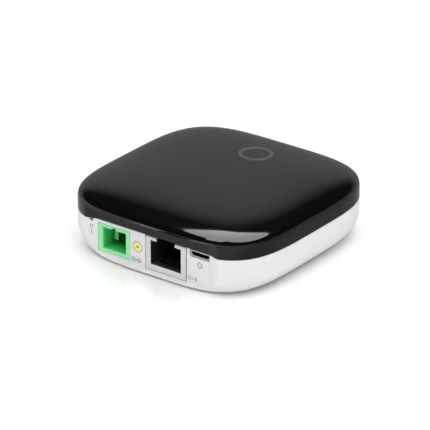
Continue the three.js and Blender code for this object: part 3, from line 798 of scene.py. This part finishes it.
def mark(name, parts, ink="grey_ink"):
    obj = joined(name, parts)
    obj.data.materials.append(MATERIALS[ink])
    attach(obj, BODY)


def power_mark(x=18.7, z=9.3):
    mark("power_mark", [stroke("a", arc(x, z - 0.2, 0.85, 125, 415), LINE),
                        stroke("b", [(x, z + 0.1), (x, z + 1.1)], LINE)])


def network_mark(x=15.9, z=3.7):
    chevrons = []
    for side in (-1, 1):
        open_end, tip = x + side * 0.9, x + side * 1.6
        points = [(open_end, z + 0.85), (tip, z), (open_end, z - 0.85)]
        chevrons.append(stroke(f"c{side}", points, LINE))
    dots = [disc(f"d{place}", x + place * 0.55, z, 0.2) for place in (-1, 0, 1)]
    mark("network_mark", chevrons + dots)


def fibre_mark(x=-6.6, z=3.8):
    mark("fibre_mark", [circle("e", x - 1.15, z, 0.62, LINE), circle("f", x + 1.15, z, 0.62, LINE),
                        stroke("g", [(x - 0.4, z), (x + 0.4, z)], LINE)])


def reset_mark(x=-24.3, z=10.2):
    mark("reset_mark", [stroke("h", arc(x, z + 1.1, 0.42, 120, 400), FINE_LINE),
                        stroke("i", [(x, z - 1.9), (x, z + 0.2)], FINE_LINE)])


def port_dot(x=-6.1, z=8.5):
    mark("port_dot_fill", [disc("j", x, z, 1.75)], "yellow_ink")
    mark("port_dot_line", [circle("k", x, z, 1.78, 0.24), disc("m", x, z, 0.5, 0.02)])


power_mark()
network_mark()
fibre_mark()
reset_mark()
port_dot()


# ---- Studio -----------------------------------------------------------------------------------------

def add_plane(name, height, size=6000):
    corners = [(x * size, y * size, height) for x, y in ((-1, -1), (1, -1), (1, 1), (-1, 1))]
    plane = add_object(name, corners, [(0, 1, 2, 3)])
    return plane


def gloss_only(obj):
    """Hides the object from everything but glossy reflections."""
    for kind in ("camera", "diffuse", "shadow", "transmission", "volume_scatter"):
        setattr(obj, "visible_" + kind, False)


def add_floor():
    """The pale table. Its own mirror image in the gloss is left to the card below it."""
    floor = add_plane("floor", 0)
    floor.visible_glossy = False
    material, tree, shader = new_material("floor")
    shader.inputs["Roughness"].default_value = 0.05
    shader.inputs["IOR"].default_value = 1.75
    colours = tint(tree, noise(tree, 3.0), (0.85, 0.85, 0.85), (0.86, 0.86, 0.86))
    tree.links.new(colours, shader.inputs["Base Color"])
    floor.data.materials.append(material)


def glowing(obj, strength=1.0):
    """Gives the object a material that only glows."""
    material, tree, shader = new_material(obj.name)
    tree.nodes.remove(shader)
    glow = tree.nodes.new("ShaderNodeEmission")
    glow.inputs["Strength"].default_value = strength
    tree.links.new(glow.outputs["Emission"], tree.nodes["Material Output"].inputs["Surface"])
    obj.data.materials.append(material)
    return tree, glow


def add_reflected_floor():
    """What glossy surfaces see below them: a lit table that falls off towards the back."""
    card = add_plane("reflected_floor", -0.2)
    gloss_only(card)
    tree, glow = glowing(card)
    place = tree.nodes.new("ShaderNodeTexCoord")
    split = tree.nodes.new("ShaderNodeSeparateXYZ")
    share = tree.nodes.new("ShaderNodeMapRange")
    share.inputs["From Min"].default_value = -0.065
    share.inputs["From Max"].default_value = 0.035
    ramp = tree.nodes.new("ShaderNodeValToRGB")
    ramp.color_ramp.elements[0].color = (1, 1, 1, 1)
    ramp.color_ramp.elements[1].color = (0.42, 0.42, 0.42, 1)
    middle_stop = ramp.color_ramp.elements.new(0.2)
    middle_stop.color = (0.65, 0.65, 0.65, 1)
    tree.links.new(place.outputs["Object"], split.inputs["Vector"])
    tree.links.new(split.outputs["Y"], share.inputs["Value"])
    tree.links.new(share.outputs["Result"], ramp.inputs["Fac"])
    tree.links.new(ramp.outputs["Color"], glow.inputs["Color"])


# What gloss sees of the wall behind: (degrees above the horizon, brightness).
SKY = [(0, 0.36), (29, 0.5), (48, 0.012)]
SKY_ARCH = 0.45
# The wall fades out between these angles to either side of straight behind, down to the dark room.
WALL_FULL, WALL_GONE = math.radians(42), math.radians(72)
DARK_ROOM = 0.03


def add_world(ambient=0.92):
    """Even light from all round for matt surfaces. Gloss sees a pale wall behind the object, lower
    towards its sides, and a dark room elsewhere."""
    world = bpy.data.worlds.new("studio")
    bpy.context.scene.world = world
    world.use_nodes = True
    tree = world.node_tree
    matt = tree.nodes["Background"]
    matt.inputs["Color"].default_value = (1, 1, 1, 1)
    matt.inputs["Strength"].default_value = ambient
    way = tree.nodes.new("ShaderNodeTexCoord")
    split = tree.nodes.new("ShaderNodeSeparateXYZ")
    tree.links.new(way.outputs["Generated"], split.inputs["Vector"])
    height = tree.nodes.new("ShaderNodeValToRGB")
    height.color_ramp.interpolation = "EASE"
    stops = height.color_ramp.elements
    levels = [(math.sin(math.radians(degrees)), (value, value, value, 1)) for degrees, value in SKY]
    stops[0].position, stops[0].color = levels[0]
    stops[1].position, stops[1].color = levels[-1]
    for place, colour in levels[1:-1]:
        stops.new(place).color = colour
    sideways = tree.nodes.new("ShaderNodeVectorMath")
    sideways.operation = "DOT_PRODUCT"
    sideways.inputs[1].default_value = (math.cos(CAMERA_AZIMUTH), math.sin(CAMERA_AZIMUTH), 0)
    size = tree.nodes.new("ShaderNodeMath")
    size.operation = "ABSOLUTE"
    arched = tree.nodes.new("ShaderNodeMath")
    arched.operation = "MULTIPLY_ADD"
    arched.inputs[1].default_value = SKY_ARCH
    tree.links.new(way.outputs["Generated"], sideways.inputs[0])
    tree.links.new(sideways.outputs["Value"], size.inputs[0])
    tree.links.new(size.outputs["Value"], arched.inputs[0])
    tree.links.new(split.outputs["Z"], arched.inputs[2])
    tree.links.new(arched.outputs["Value"], height.inputs["Fac"])
    behind = tree.nodes.new("ShaderNodeVectorMath")
    behind.operation = "DOT_PRODUCT"
    behind.inputs[1].default_value = (-math.sin(CAMERA_AZIMUTH), math.cos(CAMERA_AZIMUTH), 0)
    flat = tree.nodes.new("ShaderNodeVectorMath")
    flat.operation = "MULTIPLY"
    flat.inputs[1].default_value = (1, 1, 0)
    level = tree.nodes.new("ShaderNodeVectorMath")
    level.operation = "NORMALIZE"
    tree.links.new(way.outputs["Generated"], flat.inputs[0])
    tree.links.new(flat.outputs["Vector"], level.inputs[0])
    tree.links.new(level.outputs["Vector"], behind.inputs[0])
    wall = tree.nodes.new("ShaderNodeMapRange")
    wall.interpolation_type = "SMOOTHSTEP"
    wall.inputs["From Min"].default_value = math.cos(WALL_GONE)
    wall.inputs["From Max"].default_value = math.cos(WALL_FULL)
    wall.inputs["To Min"].default_value = DARK_ROOM
    tree.links.new(behind.outputs["Value"], wall.inputs["Value"])
    gloss = tree.nodes.new("ShaderNodeBackground")
    tree.links.new(height.outputs["Color"], gloss.inputs["Color"])
    tree.links.new(wall.outputs["Result"], gloss.inputs["Strength"])
    path = tree.nodes.new("ShaderNodeLightPath")
    mix = tree.nodes.new("ShaderNodeMixShader")
    tree.links.new(path.outputs["Is Glossy Ray"], mix.inputs["Fac"])
    tree.links.new(matt.outputs["Background"], mix.inputs[1])
    tree.links.new(gloss.outputs["Background"], mix.inputs[2])
    tree.links.new(mix.outputs["Shader"], tree.nodes["World Output"].inputs["Surface"])


def add_area(name, location, size, radiance):
    """A lamp that lights matt surfaces only."""
    data = bpy.data.lights.new(name, "AREA")
    data.shape = "RECTANGLE"
    data.size, data.size_y = size
    data.energy = radiance * math.pi * size[0] * size[1]
    light = bpy.data.objects.new(name, data)
    bpy.context.scene.collection.objects.link(light)
    light.location = location
    light.visible_glossy = False
    light.visible_camera = False


# A round-cornered softbox overhead and a strip light in front of it, in mm.
STUDIO_HEIGHT = 1000
SOFTBOX = {"left": -570, "right": 1130, "front": -620, "back": 620}
SOFTBOX_CORNERS = {"back_left": 80, "back_right": 560, "front_right": 600, "front_left": 420}
STRIP = {"left": -300, "right": 200, "front": -1200, "back": -300}


def softbox_outline(sides, corners):
    """A rectangle with a radius of its own at each corner, anticlockwise from the right."""
    left, right, front, back = (sides[side] for side in ("left", "right", "front", "back"))
    outline = []
    for name, x, y, inward_x, inward_y, start in (("back_right", right, back, -1, -1, 0),
                                                  ("back_left", left, back, 1, -1, 90),
                                                  ("front_left", left, front, 1, 1, 180),
                                                  ("front_right", right, front, -1, 1, 270)):
        radius = corners[name]
        outline += arc(x + inward_x * radius, y + inward_y * radius, radius, start, start + 90, 12)
    return outline


def add_panel(name, outline, height, radiance=7.9):
    """A glowing panel that only gloss sees."""
    panel = add_object(name, [(x, y, height) for x, y in outline], [tuple(range(len(outline)))])
    gloss_only(panel)
    glowing(panel, radiance)


add_floor()
add_reflected_floor()
add_world()
add_area("overhead", (0.3, -0.2, 1.4), (1.6, 1.6), 2.15)
add_panel("softbox", softbox_outline(SOFTBOX, SOFTBOX_CORNERS), STUDIO_HEIGHT)
strip_corners = [("left", "front"), ("right", "front"), ("right", "back"), ("left", "back")]
add_panel("strip_light", [(STRIP[x], STRIP[y]) for x, y in strip_corners], STUDIO_HEIGHT - 1)
bpy.context.scene.view_settings.view_transform = "Standard"
